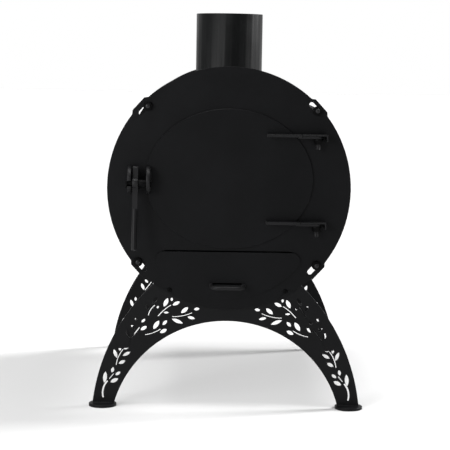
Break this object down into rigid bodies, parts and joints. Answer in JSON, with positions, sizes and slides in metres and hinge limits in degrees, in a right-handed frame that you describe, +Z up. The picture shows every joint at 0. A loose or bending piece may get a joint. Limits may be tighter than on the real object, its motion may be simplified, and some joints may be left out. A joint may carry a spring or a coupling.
{
  "type": "chiminea",
  "caption": "Horizontal steel drum garden stove on arched legs with leaf cut-outs, with an oval hinged fire door, a latch, an ash drawer and a flue spigot.",
  "frame": {"origin": "on the ground, below the centre of the whole object's bounding box", "axes": "+Z up, the fire door faces -Y, +X to the right as seen from the front (the hinge side)"},
  "size_m": [0.616, 0.8113, 0.888],
  "materials": {
    "drum_paint": "matte heat-resistant black paint on rolled sheet",
    "plate_paint": "matte heat-resistant black paint on flat plate",
    "door_paint": "matte heat-resistant black paint on flat plate",
    "leg_paint": "matte black paint on laser-cut plate",
    "flue_paint": "satin heat-resistant black paint on tube",
    "hinge_paint": "satin black paint on folded and welded bar",
    "black_steel": "black oxide steel fasteners",
    "rod_steel": "dulled steel thread",
    "grip_steel": "worn black steel grip",
    "tray_steel": "sooty sheet steel",
    "fire_steel": "sooty, heat-stained cast grate and ledges"
  },
  "bodies": {
    "stove_body": {"drum_shell": "drum_paint", "front_plate": "plate_paint", "rear_plate": "plate_paint", "flue_spigot": "flue_paint", "leg_frame_front": "leg_paint", "leg_frame_rear": "leg_paint", "foot_pad_front_left": "leg_paint", "foot_pad_front_right": "leg_paint", "foot_pad_rear_left": "leg_paint", "foot_pad_rear_right": "leg_paint", "tie_rod_1": "rod_steel", "tie_rod_2": "rod_steel", "tie_rod_3": "rod_steel", "tie_rod_4": "rod_steel", "tie_rod_washers": "black_steel", "tie_rod_nuts": "black_steel", "leg_bolts": "black_steel", "leg_bolt_washers": "black_steel", "leg_bolt_nuts": "black_steel", "grate_ledge_left": "fire_steel", "grate_ledge_right": "fire_steel", "fire_grate": "fire_steel", "hinge_bracket_upper": "hinge_paint", "hinge_bracket_lower": "hinge_paint", "hinge_stud_upper": "rod_steel", "hinge_stud_lower": "rod_steel", "hinge_washer_upper": "black_steel", "hinge_washer_lower": "black_steel", "hinge_nut_upper": "black_steel", "hinge_nut_lower": "black_steel", "latch_keeper": "hinge_paint", "drawer_runner_left": "fire_steel", "drawer_runner_right": "fire_steel"},
    "door": {"door_plate": "door_paint", "hinge_strap_upper": "hinge_paint", "hinge_strap_lower": "hinge_paint", "latch_ear": "hinge_paint"},
    "latch": {"latch_pin": "black_steel", "latch_spacer": "black_steel", "latch_lever": "hinge_paint", "latch_grip": "grip_steel"},
    "ash_drawer": {"drawer_front": "door_paint", "drawer_tray": "tray_steel", "drawer_handle": "hinge_paint"}
  },
  "joints": [
    {"name": "door_swing", "type": "hinge", "parent": "stove_body", "child": "door", "pos_m": [0.194, -0.3457, 0.519], "axis": [0, 0, 1], "range_deg": [0, 105]},
    {"name": "latch_lift", "type": "hinge", "parent": "door", "child": "latch", "pos_m": [-0.204, -0.3617, 0.5055], "axis": [-1, 0, 0], "range_deg": [0, 40]},
    {"name": "drawer_slide", "type": "slide", "parent": "stove_body", "child": "ash_drawer", "axis": [0, -1, 0], "range_m": [0, 0.45]}
  ]
}
